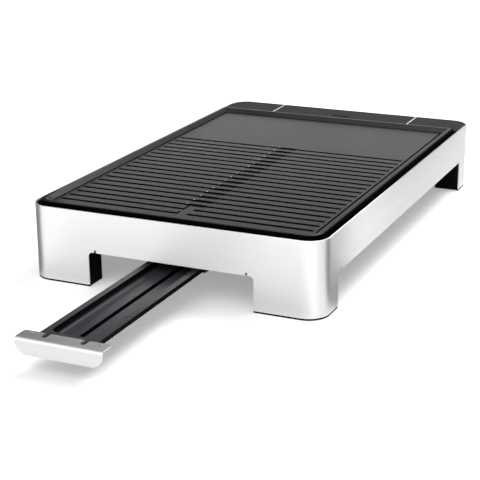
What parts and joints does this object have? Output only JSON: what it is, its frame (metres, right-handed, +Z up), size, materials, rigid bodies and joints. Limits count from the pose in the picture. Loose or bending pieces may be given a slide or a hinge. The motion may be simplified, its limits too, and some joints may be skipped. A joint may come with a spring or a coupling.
{
  "type": "electric grill",
  "caption": "Table-top electric griddle with a brushed-steel band, a dark cast plate with ribs and a flat zone, rear temperature knobs and a pull-out drip drawer.",
  "frame": {"origin": "on the table, under the middle of the steel band: the foot pads rest on z = 0 and the band is centred on x = 0, y = 0", "axes": "+X to the right seen from the drawer end, +Y from the drawer end towards the control end, +Z up"},
  "size_m": [0.34, 0.7858, 0.088],
  "materials": {
    "brushed_steel": "brushed stainless sheet, grain along each face",
    "black_moulding": "fine matte moulding",
    "pad_rubber": "matte rubber",
    "black_sheet": "black heat-resistant paint, satin",
    "zinc_steel": "bright zinc plating",
    "bright_sheet": "bright aluminised sheet",
    "element_steel": "dark annealed tube",
    "brass_tab": "bright brass tab",
    "cover_plastic": "dark grey moulding, fine texture",
    "white_guide": "milky white insert",
    "lamp_amber": "clear amber lamp body",
    "control_body": "pale moulded insulator",
    "coated_plate": "cast aluminium with a dark grey non-stick coating",
    "tray_plastic": "dark semi-gloss moulding",
    "knob_plastic": "black moulding with a white pointer line"
  },
  "bodies": {
    "housing": {"steel_band": "brushed_steel", "foot_front_left": "black_moulding", "foot_front_right": "black_moulding", "foot_rear_left": "black_moulding", "foot_rear_right": "black_moulding", "rubber_pads": "pad_rubber", "base_pan": "black_sheet", "housing_screws": "zinc_steel", "cover_screws": "zinc_steel", "rail_left": "black_sheet", "rail_right": "black_sheet", "heat_reflector": "bright_sheet", "reflector_standoffs": "zinc_steel", "element_rib_zone": "element_steel", "element_flat_zone": "element_steel", "element_terminals": "brass_tab", "element_supports": "zinc_steel", "plate_rests": "black_moulding", "firewall": "black_sheet", "control_cover": "cover_plastic", "light_guide_left": "white_guide", "light_guide_right": "white_guide", "indicator_lamps": "lamp_amber", "thermostat_left": "control_body", "thermostat_right": "control_body", "bushing_nuts": "zinc_steel", "cord_gland": "black_moulding", "terminal_block": "control_body"},
    "plate": {"grill_plate": "coated_plate"},
    "drawer": {"drip_tray": "tray_plastic", "tray_handle": "brushed_steel", "tray_rivets": "zinc_steel"},
    "left_knob": {"knob_left": "knob_plastic", "shaft_left": "zinc_steel"},
    "right_knob": {"knob_right": "knob_plastic", "shaft_right": "zinc_steel"}
  },
  "joints": [
    {"name": "drawer_slide", "type": "slide", "parent": "housing", "child": "drawer", "axis": [0, -1, 0], "range_m": [-0.218, 0.1]},
    {"name": "plate_lift", "type": "slide", "parent": "housing", "child": "plate", "axis": [0, 0, 1], "range_m": [0, 0.12]},
    {"name": "left_knob_turn", "type": "hinge", "parent": "housing", "child": "left_knob", "pos_m": [-0.096, 0.2758, 0.06], "axis": [0, -1, 0], "range_deg": [0, 270]},
    {"name": "right_knob_turn", "type": "hinge", "parent": "housing", "child": "right_knob", "pos_m": [0.096, 0.2758, 0.06], "axis": [0, -1, 0], "range_deg": [0, 270]}
  ]
}
